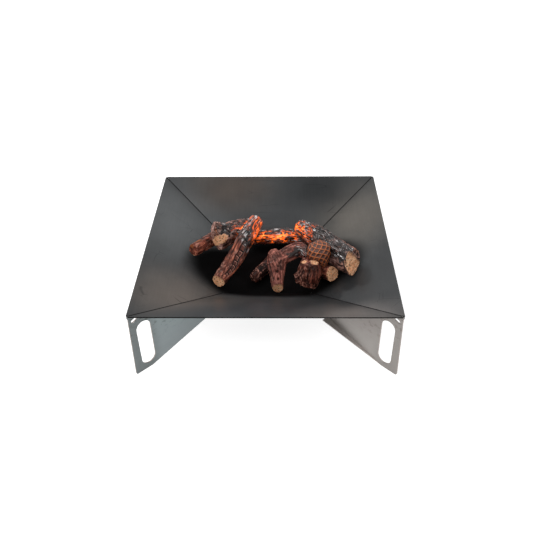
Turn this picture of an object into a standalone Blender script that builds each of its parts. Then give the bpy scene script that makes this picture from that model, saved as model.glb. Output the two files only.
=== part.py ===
"""A square sheet-steel fire pit that stands on two crossing leg plates and holds a pile of logs."""

import math
import random

import bmesh
import bpy
from mathutils import Matrix, Vector

MM = 0.001
GAP = 0.3 * MM
SHEET = 3.0 * MM
EDGE_BREAK = 0.25 * MM
CUT_DEPTH = 12.0 * MM

# Bowl, measured on its upper face
BOWL_SIDE = 600.0 * MM
BOWL_FLOOR_SIDE = 217.4 * MM
BOWL_RIM_Z = 179.6 * MM
BOWL_DEPTH = 96.0 * MM
CORNER_CLIP_ON_RIM = 5.0 * MM
CORNER_CLIP_ON_SEAM = 3.5 * MM
SEAM_WIDTH = 0.4 * MM
RELIEF_HOLE_RADIUS = 1.6 * MM
RELIEF_HOLE_STEPS = 5
BED_MARGIN = 60.0 * MM

# Leg plates, drawn along one diagonal of the bowl
FOOT_OVERHANG = 2.5 * MM
FOOT_LENGTH = 47.0 * MM
FOOT_CORNER_RADIUS = 5.0 * MM
ARCH_SLOPE = 0.249
ARCH_HEIGHT = 42.0 * MM
TOP_INSET = 2.8 * MM
EAR_STEP = 1.0 * MM
EAR_DROP = 10.0 * MM
FINGER_WIDTH = 5.4 * MM
FINGER_DROP = 0.8 * MM
LIP_WIDTH = 18.0 * MM
LIP_SHEET = 2.4 * MM
LIP_RISE = 0.4 * MM
LAP_CLEARANCE = 0.6 * MM
HAND_SLOT_WIDTH = 37.0 * MM
HAND_SLOT_BOTTOM = 14.5 * MM
HAND_SLOT_TOP = 143.0 * MM
HAND_SLOT_INSET = 36.8 * MM
TIE_SLOT_LENGTH = 15.0 * MM
TIE_SLOT_WIDTH = 8.0 * MM
TIE_SLOT_INSET = 17.0 * MM
TIE_SLOT_Z = 159.4 * MM
TIE_SLOT_TILT = math.radians(-19.0)
ARC_STEPS = 12

# Logs. Each wave has its count round the log, its weight and how fast it turns along the log.
LOG_SIDES = 16
LOG_RING_SPACING = 10.0 * MM
LOG_END_CHAMFER = 1.6 * MM
LOG_ROOM = 0.5 * MM
LOG_LUMPS = 0.055
LOG_WAVES = ((2, 1.0, 0.7), (3, 0.8, -0.5), (5, 0.5, 1.1), (0, 0.7, 1.3))
LOG_WAVE_LENGTH = 30.0 * MM
SLANT_RINGS = 4

# Pine cone. Its egg shape is a half wave, cut off near both ends.
CONE_BASE = Vector((116, -50, 199)) * MM
CONE_TIP = Vector((142, -84, 147)) * MM
CONE_RADIUS = 32.0 * MM
CONE_BASE_CUT = 0.10
CONE_TIP_CUT = 0.04
CONE_FULLNESS = 0.86
CONE_SCALES_ROUND = 9
CONE_RINGS = 10
CONE_RIM_HEIGHT = 2.2 * MM

# Colours
MILL_SCALE = (0.075, 0.078, 0.080)
RAW_STEEL = (0.30, 0.31, 0.31)
BARK = (0.14, 0.055, 0.040)
CHARRED = (0.05, 0.03, 0.03)
CONE_BROWN = (0.32, 0.12, 0.04)

# Sizes worked out from the ones above
HALF = BOWL_SIDE / 2
FLOOR_HALF = BOWL_FLOOR_SIDE / 2
FLOOR_Z = BOWL_RIM_Z - BOWL_DEPTH
WALL_RUN = HALF - FLOOR_HALF
WALL_ANGLE = math.atan2(BOWL_DEPTH, WALL_RUN)
WALL_LENGTH = math.hypot(BOWL_DEPTH, WALL_RUN)
FLAT_SEAM = math.hypot(WALL_RUN, WALL_LENGTH)
CORNER_S = HALF * math.sqrt(2)


def clear_scene():
    for item in list(bpy.data.objects):
        bpy.data.objects.remove(item, do_unlink=True)


def surface(name, color, metallic, roughness):
    material = bpy.data.materials.new(name)
    material.use_nodes = True
    shader = material.node_tree.nodes["Principled BSDF"]
    shader.inputs["Base Color"].default_value = (*color, 1.0)
    shader.inputs["Metallic"].default_value = metallic
    shader.inputs["Roughness"].default_value = roughness
    return material


def bowl_steel():
    return surface("bowl_steel", MILL_SCALE, 0.9, 0.42)


def leg_steel():
    return surface("leg_steel", RAW_STEEL, 0.9, 0.38)


def wood(name, color):
    return surface(name, color, 0.0, 0.75)


def object_from(name, mesh_data, material):
    """Turn a bmesh into a named object with one material and outward normals."""
    bmesh.ops.recalc_face_normals(mesh_data, faces=mesh_data.faces)
    mesh = bpy.data.meshes.new(name)
    mesh_data.to_mesh(mesh)
    mesh_data.free()
    if material:
        mesh.materials.append(material)
    item = bpy.data.objects.new(name, mesh)
    bpy.context.scene.collection.objects.link(item)
    return item


def hide_cutter(item):
    item.hide_render = True
    item.display_type = "WIRE"
    return item


def boolean(item, cutter, operation="DIFFERENCE"):
    modifier = item.modifiers.new(cutter.name, "BOOLEAN")
    modifier.operation = operation
    modifier.solver = "EXACT"
    modifier.object = cutter


def break_edges(item):
    modifier = item.modifiers.new("edge_break", "BEVEL")
    modifier.width = EDGE_BREAK
    modifier.segments = 1
    modifier.limit_method = "ANGLE"
    modifier.angle_limit = math.radians(50)


def round_shade(item):
    item.data.shade_smooth()
    item.data.set_sharp_from_angle(angle=math.radians(35))


def arc(center, radius, start, end, steps):
    """Points on an arc, both ends included, angles in radians."""
    points = []
    for index in range(steps + 1):
        angle = start + (end - start) * index / steps
        points.append((center[0] + radius * math.cos(angle), center[1] + radius * math.sin(angle)))
    return points


def rounded_corner(before, corner, after, radius, steps=4):
    """Replace a sharp outline corner with an arc that meets both its sides."""
    corner = Vector(corner)
    along_in = (Vector(before) - corner).normalized()
    along_out = (Vector(after) - corner).normalized()
    half_angle = along_in.angle(along_out) / 2
    center = corner + (along_in + along_out).normalized() * (radius / math.sin(half_angle))
    first = corner + along_in * (radius / math.tan(half_angle)) - center
    last = corner + along_out * (radius / math.tan(half_angle)) - center
    start = math.atan2(first.y, first.x)
    turn = (math.atan2(last.y, last.x) - start + math.pi) % math.tau - math.pi
    return arc(center, radius, start, start + turn, steps)


def extrude_face(mesh_data, face, shift):
    """Turn a flat face into a closed solid that reaches as far as shift."""
    moved = bmesh.ops.extrude_face_region(mesh_data, geom=[face])["geom"]
    for vert in [part for part in moved if isinstance(part, bmesh.types.BMVert)]:
        vert.co += shift


def extrude_outline(mesh_data, outline, low, high):
    """Add a prism: the outline lies in X and Z, and runs along Y from low to high."""
    verts = [mesh_data.verts.new((x, low, z)) for x, z in outline]
    extrude_face(mesh_data, mesh_data.faces.new(verts), Vector((0, high - low, 0)))


def wall_outline():
    """One wall of the bowl laid flat: x along the fold, y up the slope.

    The seam edge steps back near the rim, to leave room for the leg's finger in the corner."""
    seam = Vector((WALL_RUN, WALL_LENGTH)).normalized()
    inward = Vector((-seam.y, seam.x))
    corner = Vector((HALF, WALL_LENGTH))
    along_seam = FLAT_SEAM / (WALL_RUN * math.sqrt(2))
    across_seam = FLAT_SEAM / (WALL_LENGTH * math.sqrt(2))
    half_seam = SEAM_WIDTH / 2
    half_window = (SHEET / 2 + GAP) / across_seam
    underside_shift = SHEET * math.sin(WALL_ANGLE) / math.sqrt(2)
    reach = math.sqrt(RELIEF_HOLE_RADIUS ** 2 - half_seam ** 2)
    seam_start = inward * half_seam + seam * reach
    end_angle = math.atan2(seam_start.y, seam_start.x)
    relief = arc((FLOOR_HALF, 0), RELIEF_HOLE_RADIUS, math.pi, end_angle, RELIEF_HOLE_STEPS)
    window_reach = TOP_INSET - EAR_STEP + FINGER_WIDTH + GAP + underside_shift
    window = corner - seam * window_reach * along_seam
    tip = corner - seam * CORNER_CLIP_ON_SEAM
    right = relief + [window + inward * half_seam, window + inward * half_window]
    right += [tip + inward * half_window, (HALF - CORNER_CLIP_ON_RIM, WALL_LENGTH)]
    left = [(-x, y) for x, y in reversed(right)]
    return right + left


def fold_wall(mesh_data, quarter):
    """Fold one wall up and turn it to its side of the floor."""
    fold = Matrix.Rotation(WALL_ANGLE, 4, "X")
    turn = Matrix.Rotation(quarter * math.pi / 2, 4, "Z")
    place = Matrix.Translation((0, 0, FLOOR_Z)) @ turn @ Matrix.Translation((0, FLOOR_HALF, 0)) @ fold
    verts = [mesh_data.verts.new(place @ Vector((x, y, 0))) for x, y in wall_outline()]
    mesh_data.faces.new(verts)


def bowl_floor(mesh_data):
    """The square floor, with a quarter of a relief hole at each corner."""
    points = []
    for quarter in range(4):
        turn = Matrix.Rotation(quarter * math.pi / 2, 2)
        bite = arc((FLOOR_HALF, FLOOR_HALF), RELIEF_HOLE_RADIUS, 1.5 * math.pi, math.pi, RELIEF_HOLE_STEPS)
        points += [turn @ Vector(point) for point in bite]
    verts = [mesh_data.verts.new((x, y, FLOOR_Z)) for x, y in points]
    mesh_data.faces.new(verts)


def make_bowl():
    """A cross of sheet folded up into four walls, thickened downwards."""
    sheet = bmesh.new()
    bowl_floor(sheet)
    for quarter in range(4):
        fold_wall(sheet, quarter)
    bmesh.ops.remove_doubles(sheet, verts=sheet.verts, dist=0.01 * MM)
    bowl = object_from("bowl", sheet, bowl_steel())
    up = sum(face.normal.z * face.area for face in bowl.data.polygons)
    skin = bowl.modifiers.new("sheet", "SOLIDIFY")
    skin.thickness = SHEET
    skin.offset = -1.0 if up > 0 else 1.0
    skin.use_even_offset = True
    break_edges(bowl)


def seat_z(s):
    """Height of the leg's top edge under the bowl, at a distance s from the middle."""
    beyond_floor = s / math.sqrt(2) - FLOOR_HALF
    under_wall = FLOOR_Z + beyond_floor * BOWL_DEPTH / WALL_RUN - SHEET / math.cos(WALL_ANGLE)
    return max(under_wall, FLOOR_Z - SHEET) - GAP


def leg_outline():
    """Outline of a leg plate, x along the diagonal and y up, with its feet at the two ends."""
    foot_end = CORNER_S + FOOT_OVERHANG
    knee = foot_end - FOOT_LENGTH
    arch_end = knee - ARCH_HEIGHT / ARCH_SLOPE
    edge_top = (CORNER_S - TOP_INSET, BOWL_RIM_Z - EAR_DROP)
    ear_out = edge_top[0] + EAR_STEP
    finger_in = ear_out - FINGER_WIDTH
    finger_top = BOWL_RIM_Z - FINGER_DROP
    flat_end = (FLOOR_HALF + SHEET * math.tan(WALL_ANGLE / 2)) * math.sqrt(2)
    foot = rounded_corner((knee, 0), (foot_end, 0), edge_top, FOOT_CORNER_RADIUS)
    right = [(arch_end, ARCH_HEIGHT), (knee, 0)] + foot
    right += [edge_top, (ear_out, edge_top[1] + EAR_STEP), (ear_out, finger_top)]
    right += [(finger_in, finger_top), (finger_in, seat_z(finger_in)), (flat_end, seat_z(0))]
    left = [(-x, z) for x, z in reversed(right)]
    return right + left


def stadium(center, length, width, tilt):
    """A slot with round ends, its length along X before the tilt."""
    reach = (length - width) / 2
    right = arc((reach, 0), width / 2, -math.pi / 2, math.pi / 2, ARC_STEPS)
    left = arc((-reach, 0), width / 2, math.pi / 2, 1.5 * math.pi, ARC_STEPS)
    turn = Matrix.Rotation(tilt, 2)
    return [Vector(center) + turn @ Vector(point) for point in right + left]


def hand_slot():
    middle = (HAND_SLOT_BOTTOM + HAND_SLOT_TOP) / 2
    length = HAND_SLOT_TOP - HAND_SLOT_BOTTOM
    return stadium((CORNER_S - HAND_SLOT_INSET, middle), length, HAND_SLOT_WIDTH, math.pi / 2)


def tie_slot():
    return stadium((CORNER_S - TIE_SLOT_INSET, TIE_SLOT_Z), TIE_SLOT_LENGTH, TIE_SLOT_WIDTH, TIE_SLOT_TILT)


def leg_slots(name, lap_low, lap_high):
    """Cutter for the hand slots, the small tie slots and the half-lap slot of one plate."""
    cutter = bmesh.new()
    for outline in (hand_slot(), tie_slot()):
        extrude_outline(cutter, outline, -CUT_DEPTH, CUT_DEPTH)
        extrude_outline(cutter, [(-x, z) for x, z in outline], -CUT_DEPTH, CUT_DEPTH)
    half_width = (SHEET + LAP_CLEARANCE) / 2
    lap = [(-half_width, lap_low), (half_width, lap_low), (half_width, lap_high), (-half_width, lap_high)]
    extrude_outline(cutter, lap, -CUT_DEPTH, CUT_DEPTH)
    return hide_cutter(object_from(name, cutter, None))


def leg_lips(name):
    """Two tapered stiffening lips, one along each sloping side of the arch, folded to opposite faces."""
    lips = bmesh.new()
    knee = CORNER_S + FOOT_OVERHANG - FOOT_LENGTH
    slope = math.atan(ARCH_SLOPE)
    length = ARCH_HEIGHT / math.sin(slope)
    taper = [(0, 0), (-length, 0), (-length, -LIP_WIDTH - SHEET / 2), (0, -SHEET / 2)]
    along_arch = Matrix.Translation((knee, 0, 0)) @ Matrix.Rotation(slope, 4, "Y")
    for side in (0, math.pi):
        place = Matrix.Rotation(side, 4, "Z") @ along_arch
        verts = [lips.verts.new(place @ Vector((x, y, LIP_RISE))) for x, y in taper]
        extrude_face(lips, lips.faces.new(verts), place.to_3x3() @ Vector((0, 0, LIP_SHEET)))
    return hide_cutter(object_from(name, lips, None))


def make_leg(name, turn, lap_low, lap_high, material):
    plate = bmesh.new()
    extrude_outline(plate, leg_outline(), -SHEET / 2, SHEET / 2)
    leg = object_from(name, plate, material)
    lips = leg_lips(name + "_lips")
    slots = leg_slots(name + "_slots", lap_low, lap_high)
    boolean(leg, lips, "UNION")
    boolean(leg, slots)
    break_edges(leg)
    for item in (leg, lips, slots):
        item.rotation_euler.z = turn


def make_legs():
    """The same plate twice, half-lapped where they cross under the middle of the bowl."""
    material = leg_steel()
    lap_z = (ARCH_HEIGHT + seat_z(0)) / 2
    make_leg("leg_plate_lower", -math.pi / 4, lap_z - GAP / 2, seat_z(0) + CUT_DEPTH, material)
    make_leg("leg_plate_upper", math.pi / 4, ARCH_HEIGHT - CUT_DEPTH, lap_z + GAP / 2, material)


def smooth_path(points, radii):
    """Even samples of a smooth curve through the points, each with its radius."""
    ends = [points[0] * 2 - points[1]] + points + [points[-1] * 2 - points[-2]]
    samples = []
    for index in range(len(points) - 1):
        a, b, c, d = ends[index:index + 4]
        steps = max(2, round((c - b).length / LOG_RING_SPACING))
        for step in range(steps):
            t = step / steps
            bend = (2 * a - 5 * b + 4 * c - d) * t ** 2 + (3 * b - a - 3 * c + d) * t ** 3
            spot = (2 * b + (c - a) * t + bend) / 2
            samples.append((spot, radii[index] * (1 - t) + radii[index + 1] * t))
    samples.append((points[-1], radii[-1]))
    return samples


def chamfered_ends(spots, first, last, swell):
    """Give a sampled path a smaller ring at each end, and one a chamfer further in."""
    start, start_radius = spots[0]
    end, end_radius = spots[-1]
    head = [(start - first * swell, start_radius - LOG_END_CHAMFER)]
    head.append((start + first * (LOG_END_CHAMFER - swell), start_radius))
    tail = [(end - last * (LOG_END_CHAMFER - swell), end_radius)]
    tail.append((end + last * swell, end_radius - LOG_END_CHAMFER))
    return head + spots[1:-1] + tail


def skin_rings(mesh_data, rings):
    """Join rings of points into one closed tube with flat ends."""
    count = len(rings[0])
    for ring, following in zip(rings, rings[1:]):
        for corner in range(count):
            beside = (corner + 1) % count
            mesh_data.faces.new((ring[corner], ring[beside], following[beside], following[corner]))
    mesh_data.faces.new(list(reversed(rings[0])))
    mesh_data.faces.new(rings[-1])


def slant_end(rings, facing, ahead):
    """Slide the points of the first rings along the log, so that its end is cut square to facing."""
    facing = Vector(facing).normalized()
    middle = sum((vert.co for vert in rings[1]), Vector()) / LOG_SIDES
    slides = [(middle - vert.co).dot(facing) / ahead.dot(facing) for vert in rings[1]]
    shares = [1.0, 1.0] + [1 - (step + 1) / (SLANT_RINGS + 1) for step in range(SLANT_RINGS)]
    for ring, share in zip(rings, shares):
        for vert, slide in zip(ring, slides):
            vert.co += ahead * slide * share


def lump(angle, walk, phases):
    """How far a log stands out at an angle round it and a distance along it, as a share."""
    total = 0.0
    for (count, weight, rate), phase in zip(LOG_WAVES, phases):
        total += weight * math.sin(count * angle + rate * walk + phase)
    return total


def log_mesh(mesh_data, points, radii, seed, swell, facing=None, lumps=LOG_LUMPS):
    """Add one lumpy tube with flat chamfered ends along a curved path.

    The first end may be cut square to the direction facing; swell makes the tube fatter all round."""
    rng = random.Random(seed)
    phases = [rng.uniform(0, math.tau) for _ in LOG_WAVES]
    spots = smooth_path([Vector(point) * MM for point in points], [radius * MM for radius in radii])
    first = (spots[1][0] - spots[0][0]).normalized()
    last = (spots[-1][0] - spots[-2][0]).normalized()
    spots = chamfered_ends(spots, first, last, swell)
    side = first.orthogonal().normalized()
    rings = []
    for index, (spot, radius) in enumerate(spots):
        ahead = spots[min(index + 1, len(spots) - 1)][0] - spots[max(index - 1, 0)][0]
        ahead.normalize()
        side = (side - ahead * side.dot(ahead)).normalized()
        up = ahead.cross(side)
        walk = index * LOG_RING_SPACING / LOG_WAVE_LENGTH
        ring = []
        for corner in range(LOG_SIDES):
            angle = math.tau * corner / LOG_SIDES
            reach = radius * (1 + lumps * lump(angle, walk, phases)) + swell
            ring.append(mesh_data.verts.new(spot + (side * math.cos(angle) + up * math.sin(angle)) * reach))
        rings.append(ring)
    if facing:
        slant_end(rings, facing, first)
    skin_rings(mesh_data, rings)


def stem(points, radii, **shape):
    """One stem of a log: its path and its radii in millimetres, and what is special about its shape."""
    return {"points": points, "radii": radii, **shape}


def stem_object(name, shape, seed, swell, material=None):
    mesh_data = bmesh.new()
    log_mesh(mesh_data, seed=seed, swell=swell, **shape)
    return object_from(name, mesh_data, material)


def make_bed():
    """Everything below the bowl's upper face and a little above it, as a solid to cut with."""
    bed = bmesh.new()
    bottom_z = FLOOR_Z - BED_MARGIN
    beyond = HALF + BED_MARGIN
    lift = GAP / math.cos(WALL_ANGLE)
    rim_z = FLOOR_Z + (beyond - FLOOR_HALF) * BOWL_DEPTH / WALL_RUN + lift
    rings = []
    for half, z in ((beyond, bottom_z), (beyond, rim_z), (FLOOR_HALF, FLOOR_Z + lift)):
        corners = ((-half, -half), (half, -half), (half, half), (-half, half))
        rings.append([bed.verts.new((x, y, z)) for x, y in corners])
    skin_rings(bed, rings)
    return hide_cutter(object_from("bowl_bed", bed, None))


class Pile:
    """Keeps the pieces laid so far, so that each new one is cut clear of the bowl and of its neighbours."""

    def __init__(self):
        self.bed = make_bed()
        self.laid = []

    def box(self, item):
        corners = [Vector(corner) for corner in item.bound_box]
        low = Vector([min(corner[axis] for corner in corners) for axis in range(3)])
        high = Vector([max(corner[axis] for corner in corners) for axis in range(3)])
        return low, high

    def meets(self, first, second):
        low_a, high_a = self.box(first)
        low_b, high_b = self.box(second)
        return all(low_a[axis] < high_b[axis] and low_b[axis] < high_a[axis] for axis in range(3))

    def cut_clear(self, item, solids):
        """Cut the piece where it would sink into the bowl or into a piece laid before it."""
        boolean(item, self.bed)
        for cutter in self.laid:
            if any(self.meets(solid, cutter) for solid in solids):
                boolean(item, cutter)

    def lay_log(self, name, stems, color, seed):
        """Lay one log: a main stem, and any branches joined to it."""
        main_stem = stem_object(name, stems[0], seed, 0.0, wood(name + "_bark", color))
        solids = [main_stem]
        for number, shape in enumerate(stems[1:], start=1):
            branch = hide_cutter(stem_object(f"{name}_branch_{number}", shape, seed + number, 0.0))
            boolean(main_stem, branch, "UNION")
            solids.append(branch)
        self.cut_clear(main_stem, solids)
        round_shade(main_stem)
        for number, shape in enumerate(stems):
            room = stem_object(f"{name}_room_{number}", shape, seed + number, LOG_ROOM)
            self.laid.append(hide_cutter(room))


def lay_hidden_back(pile):
    trunk = stem([(-48, 92, 110), (34, 97, 112), (112, 86, 112)], [20, 24, 21])
    pile.lay_log("log_hidden_back", [trunk], CHARRED, 3)


def lay_low_centre(pile):
    trunk = stem([(-36, -70, 99), (-8, -34, 104), (20, 20, 106)], [15, 17, 16])
    pile.lay_log("log_low_centre", [trunk], BARK, 5)


def lay_far_left(pile):
    trunk = stem([(-188, -20, 151), (-140, 46, 141), (-90, 98, 131)], [18, 18, 16])
    pile.lay_log("log_far_left", [trunk], BARK, 11)


def lay_small_right(pile):
    trunk = stem([(161, -92, 131), (140, -62, 118), (116, -28, 106)], [20, 20, 19])
    pile.lay_log("log_small_right", [trunk], BARK, 17)


def lay_large_right(pile):
    trunk = stem([(208, -98, 173), (173, -48, 165), (132, 24, 157), (84, 86, 150)], [32, 34, 30, 24],
                 facing=(0.78, -0.50, 0.36))
    pile.lay_log("log_large_right", [trunk], BARK, 23)


def lay_split_left(pile):
    trunk = stem([(-128, 5, 163), (-92, 44, 161), (-34, 86, 154)], [25, 30, 21], lumps=0.09)
    stub = stem([(-104, 32, 174), (-140, 27, 190)], [22, 18])
    pile.lay_log("log_split_left", [trunk, stub], BARK, 29)


def lay_front_left(pile):
    trunk = stem([(-121, -97, 111), (-77, -42, 149), (-54, 0, 176), (-28, 58, 192)], [19, 23, 25, 19],
                 facing=(-0.45, -0.85, -0.05))
    pile.lay_log("log_front_left", [trunk], BARK, 31)


def lay_stump_right(pile):
    trunk = stem([(100, -98, 108), (103, -97, 140), (104, -92, 172)], [27, 31, 24], lumps=0.08)
    knob = stem([(96, -92, 126), (68, -97, 120)], [21, 14])
    pile.lay_log("log_stump_right", [trunk, knob], BARK, 37)


def lay_forked_front(pile):
    trunk = stem([(27, -122, 109), (25, -96, 132), (23, -72, 158), (12, -66, 182)], [16, 20, 26, 14],
                 facing=(0.05, -0.90, -0.25))
    arm = stem([(26, -70, 157), (56, -54, 167), (82, -46, 172), (102, -62, 163)], [20, 22, 21, 14])
    pile.lay_log("log_forked_front", [trunk, arm], BARK, 41)


def cone_radius(along, raised):
    """Radius of the pine cone at a place from 0, its base, to 1, its tip."""
    place = CONE_BASE_CUT + (1 - CONE_BASE_CUT - CONE_TIP_CUT) * along
    body = math.sin(math.pi * place ** CONE_FULLNESS)
    return body * (CONE_RADIUS - CONE_RIM_HEIGHT * (0.0 if raised else 1.0))


def cone_rings(mesh_data):
    """Rings of points that are high and low by turns, staggered from ring to ring."""
    ahead = (CONE_TIP - CONE_BASE).normalized()
    side = ahead.orthogonal().normalized()
    up = ahead.cross(side)
    sides = 2 * CONE_SCALES_ROUND
    rings = []
    for level in range(CONE_RINGS + 1):
        along = level / CONE_RINGS
        spot = CONE_BASE.lerp(CONE_TIP, along)
        ring = []
        for corner in range(sides):
            angle = math.tau * corner / sides
            reach = cone_radius(along, raised=(corner + level) % 2 == 0)
            ring.append(mesh_data.verts.new(spot + (side * math.cos(angle) + up * math.sin(angle)) * reach))
        rings.append(ring)
    return rings


def skin_scales(mesh_data, rings):
    """Skin the rings with triangles that meet along the high points, so that the scales' rims form a net."""
    count = len(rings[0])
    for level, (ring, following) in enumerate(zip(rings, rings[1:])):
        for corner in range(count):
            beside = (corner + 1) % count
            quad = [ring[corner], ring[beside], following[beside], following[corner]]
            if (corner + level) % 2 == 0:
                quad = quad[1:] + quad[:1]
            mesh_data.faces.new((quad[0], quad[1], quad[3]))
            mesh_data.faces.new((quad[1], quad[2], quad[3]))
    mesh_data.faces.new(list(reversed(rings[0])))
    mesh_data.faces.new(rings[-1])


def lay_pine_cone(pile):
    """An egg of hollow scales with raised rims, lying tip down against the large log."""
    cone = bmesh.new()
    skin_scales(cone, cone_rings(cone))
    item = object_from("pine_cone", cone, wood("cone_scales", CONE_BROWN))
    pile.cut_clear(item, [item])


def main():
    clear_scene()
    make_bowl()
    make_legs()
    pile = Pile()
    lay_hidden_back(pile)
    lay_low_centre(pile)
    lay_far_left(pile)
    lay_small_right(pile)
    lay_large_right(pile)
    lay_split_left(pile)
    lay_front_left(pile)
    lay_stump_right(pile)
    lay_forked_front(pile)
    lay_pine_cone(pile)


main()
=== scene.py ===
"""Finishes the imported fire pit: a mill-scale bowl, raw steel leg plates, burnt logs and a pine cone."""

import math

import bpy
import numpy as np
from mathutils import Matrix, Vector


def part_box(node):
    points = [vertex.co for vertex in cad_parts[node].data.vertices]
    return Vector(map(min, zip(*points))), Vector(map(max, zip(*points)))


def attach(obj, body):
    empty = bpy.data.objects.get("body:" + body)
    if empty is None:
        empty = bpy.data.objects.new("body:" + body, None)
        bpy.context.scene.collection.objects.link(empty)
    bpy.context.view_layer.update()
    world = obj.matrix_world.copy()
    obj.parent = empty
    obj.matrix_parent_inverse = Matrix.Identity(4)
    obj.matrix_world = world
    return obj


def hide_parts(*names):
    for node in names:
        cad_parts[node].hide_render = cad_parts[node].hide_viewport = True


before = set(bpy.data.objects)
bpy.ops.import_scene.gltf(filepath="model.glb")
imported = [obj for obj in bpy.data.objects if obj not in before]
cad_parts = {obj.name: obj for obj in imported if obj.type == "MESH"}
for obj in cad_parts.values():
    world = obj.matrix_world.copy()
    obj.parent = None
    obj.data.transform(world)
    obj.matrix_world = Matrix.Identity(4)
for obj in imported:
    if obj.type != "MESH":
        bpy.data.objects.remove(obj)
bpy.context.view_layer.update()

MM = 0.001

# Camera, found from the bowl's corners in the picture
CAMERA_PLACE = (0.0375, -1.2876, 1.0886)
CAMERA_PITCH = math.radians(38.31)
CAMERA_YAW = math.radians(1.43)
CAMERA_ROLL = math.radians(-0.91)
SENSOR_WIDTH = 36.0
LENS = 41.64

# Lamps: name, place, side of the square in metres, watts. The glint lamps only make small highlights
LAMPS = (
    ("key_lamp", (-0.9, -1.3, 1.9), 1.0, 15.0),
    ("left_glint_lamp", (-1.1, 0.9, 1.3), 0.12, 5.0),
    ("back_glint_lamp", (-0.3, 1.0, 1.7), 0.10, 3.5),
    ("right_glint_lamp", (0.7, -0.3, 1.9), 0.12, 3.0),
)
LAMP_TARGET = (0, 0, 0.1)
WORLD_LIGHT = 0.52
FLOOR_REACH = 6.0
FLOOR_LEVEL = -0.2 * MM
FLOOR_COLOR = (0.80, 0.80, 0.80, 1)
FLOOR_WHITENING = 0.78

# The bowl: half sides of its floor and rim, the slope of its seams, and where their undersides start
BOWL_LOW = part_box("bowl")[0]
FLOOR_HALF = 108.7 * MM
RIM_HALF = 300.0 * MM
BOWL_RISE = 96.0 * MM
DIAGONAL = math.sqrt(0.5)
SEAM_SLOPE = BOWL_RISE / (RIM_HALF - FLOOR_HALF) * DIAGONAL
SEAM_START = BOWL_LOW.z - SEAM_SLOPE * FLOOR_HALF / DIAGONAL

# Logs and cone: how finely their surface is meshed, and how far it is kept inside the CAD solid
SURFACE_STEP = 1.3 * MM
SURFACE_INSET = 0.25 * MM
WELD_REACH = 0.01 * MM

# The heart of the fire, and the way from it to the viewer, which tells the sides of a log apart
FIRE = np.array((18.0, 38.0, 165.0)) * MM
TOWARD_VIEWER = (0.0, -0.78, 0.62)

# Where a search for the nearest of something starts: beyond every distance that is compared with it
FAR = 9.0

# Pine cone: the middles of its two ends, how many scales it has round and along, their depth in mm
CONE_BASE = np.array((116, -50, 199)) * MM
CONE_TIP = np.array((142, -84, 147)) * MM
CONE_SCALES_ROUND = 9
CONE_RINGS = 10
CONE_SCALE_DEPTH = 1.4


# Node trees

class Graph:
    """Short calls that add nodes to the tree of a material or a group."""

    def __init__(self, tree):
        self.tree = tree

    def feed(self, socket, value):
        if isinstance(value, bpy.types.NodeSocket):
            self.tree.links.new(value, socket)
        else:
            socket.default_value = value

    def add(self, kind, sockets=None, **settings):
        node = self.tree.nodes.new(kind)
        for name, value in settings.items():
            setattr(node, name, value)
        for name, value in (sockets or {}).items():
            self.feed(node.inputs[name], value)
        return node

    def math(self, operation, first, second=0.0):
        return self.add("ShaderNodeMath", {0: first, 1: second}, operation=operation).outputs[0]

    def vector(self, operation, first, second=(0.0, 0.0, 0.0)):
        node = self.add("ShaderNodeVectorMath", {0: first, 1: second}, operation=operation)
        return node.outputs["Value" if operation in ("LENGTH", "DOT_PRODUCT") else "Vector"]

    def split(self, vector):
        return self.add("ShaderNodeSeparateXYZ", {0: vector}).outputs

    def noise(self, place, scale, detail=2.0, roughness=0.5):
        """Smooth random values from 0 to 1; scale is lumps per metre."""
        sockets = {"Vector": place, "Scale": scale, "Detail": detail, "Roughness": roughness}
        return self.add("ShaderNodeTexNoise", sockets).outputs["Fac"]

    def cell_borders(self, place, scale):
        """Distance to the nearest border between random cells."""
        sockets = {"Vector": place, "Scale": scale}
        return self.add("ShaderNodeTexVoronoi", sockets, feature="DISTANCE_TO_EDGE").outputs["Distance"]

    def fade(self, value, low, high, to_low=0.0, to_high=1.0):
        """A smooth step from to_low to to_high as the value goes from low to high."""
        sockets = {"Value": value, "From Min": low, "From Max": high, "To Min": to_low, "To Max": to_high}
        return self.add("ShaderNodeMapRange", sockets, interpolation_type="SMOOTHSTEP").outputs[0]

    def mix(self, share, first, second, blend="MIX"):
        node = self.add("ShaderNodeMix", data_type="RGBA", blend_type=blend, clamp_factor=True)
        self.feed(node.inputs[0], share)
        self.feed(node.inputs[6], first)
        self.feed(node.inputs[7], second)
        return node.outputs[2]

    def bump(self, height, strength, distance):
        sockets = {"Height": height, "Strength": strength, "Distance": distance}
        return self.add("ShaderNodeBump", sockets).outputs["Normal"]

    def place(self):
        return self.add("ShaderNodeTexCoord").outputs["Object"]

    def facing(self):
        return self.add("ShaderNodeNewGeometry").outputs["True Normal"]

    def attribute(self, name, output="Fac"):
        return self.add("ShaderNodeAttribute", attribute_name=name).outputs[output]

    def use(self, group, sockets):
        node = self.add("ShaderNodeGroup", node_tree=group)
        for name, value in sockets.items():
            self.feed(node.inputs[name], value)
        return node.outputs


def effect(name, inputs, outputs):
    """An empty node group with named sockets, and the nodes that stand for its two sides."""
    tree = bpy.data.node_groups.new(name, "ShaderNodeTree")
    for socket, kind, value in inputs:
        made = tree.interface.new_socket(socket, in_out="INPUT", socket_type="NodeSocket" + kind)
        if value is not None:
            made.default_value = value
    for socket, kind in outputs:
        tree.interface.new_socket(socket, in_out="OUTPUT", socket_type="NodeSocket" + kind)
    graph = Graph(tree)
    entry = tree.nodes.new("NodeGroupInput").outputs
    leave = tree.nodes.new("NodeGroupOutput").inputs
    return graph, entry, leave


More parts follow.
